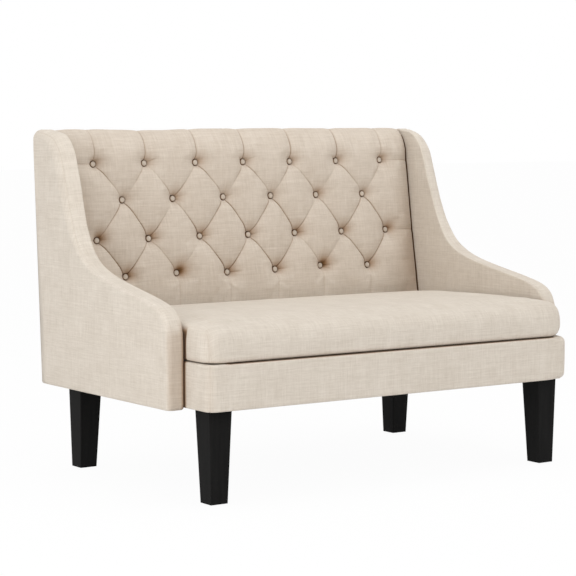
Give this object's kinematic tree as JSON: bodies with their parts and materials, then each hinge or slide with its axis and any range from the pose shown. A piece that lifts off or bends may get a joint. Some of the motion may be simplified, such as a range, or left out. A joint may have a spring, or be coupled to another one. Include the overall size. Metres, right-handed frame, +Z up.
{
  "type": "high back settee",
  "caption": "Two-seat high back settee with a diamond-buttoned leaning back, sloping wings, a tight sprung seat on a padded seat box and square tapered legs.",
  "frame": {"origin": "on the floor under the middle of the settee: the centre of the bottom of its overall box", "axes": "+X to the right across the settee as seen from the front, +Y from the front towards the back, +Z up"},
  "size_m": [1.257, 0.787, 0.903],
  "materials": {
    "linen": "oatmeal linen-look plain weave with fine slubs",
    "black_lacquer": "satin black lacquer over a faint straight grain",
    "dark_plastic": "moulded dark nail glide",
    "steel": "bright zinc-plated steel",
    "birch": "sawn and planed frame timber",
    "plywood": "raw plywood",
    "foam": "open-cell cushion foam",
    "burlap": "open jute cloth",
    "black_cloth": "non-woven black dust cloth"
  },
  "bodies": {
    "root": {"base_border": "linen", "seat_cover": "linen", "back_cover": "linen", "outside_back": "linen", "wing_cover_left": "linen", "wing_cover_right": "linen", "button_row_1": "linen", "button_row_2": "linen", "button_row_3": "linen", "button_row_4": "linen", "leg_front_left": "black_lacquer", "leg_front_right": "black_lacquer", "leg_rear_left": "black_lacquer", "leg_rear_right": "black_lacquer", "leg_glide_front_left": "dark_plastic", "leg_glide_front_right": "dark_plastic", "leg_glide_rear_left": "dark_plastic", "leg_glide_rear_right": "dark_plastic", "hanger_bolt_front_left": "steel", "hanger_bolt_front_right": "steel", "hanger_bolt_rear_left": "steel", "hanger_bolt_rear_right": "steel", "spring_clip_strip_front": "steel", "spring_clip_strip_rear": "steel", "seat_spring_1": "steel", "seat_spring_2": "steel", "seat_spring_3": "steel", "seat_spring_4": "steel", "seat_spring_5": "steel", "wing_bolt_lower_left": "steel", "wing_bolt_lower_right": "steel", "wing_bolt_upper_left": "steel", "wing_bolt_upper_right": "steel", "back_bolt_lower_left": "steel", "back_bolt_lower_right": "steel", "back_bolt_upper_left": "steel", "back_bolt_upper_right": "steel", "seat_front_rail": "birch", "seat_rear_rail": "birch", "seat_side_rail_left": "birch", "seat_side_rail_right": "birch", "seat_centre_rail": "birch", "corner_block_front_left": "birch", "corner_block_front_right": "birch", "corner_block_rear_left": "birch", "corner_block_rear_right": "birch", "back_post_left": "birch", "back_post_right": "birch", "back_top_rail": "birch", "back_lower_rail": "birch", "back_board": "plywood", "wing_board_left": "plywood", "wing_board_right": "plywood", "seat_foam": "foam", "back_foam": "foam", "wing_foam_left": "foam", "wing_foam_right": "foam", "deck_cloth": "burlap", "dust_cover": "black_cloth"}
  },
  "joints": []
}
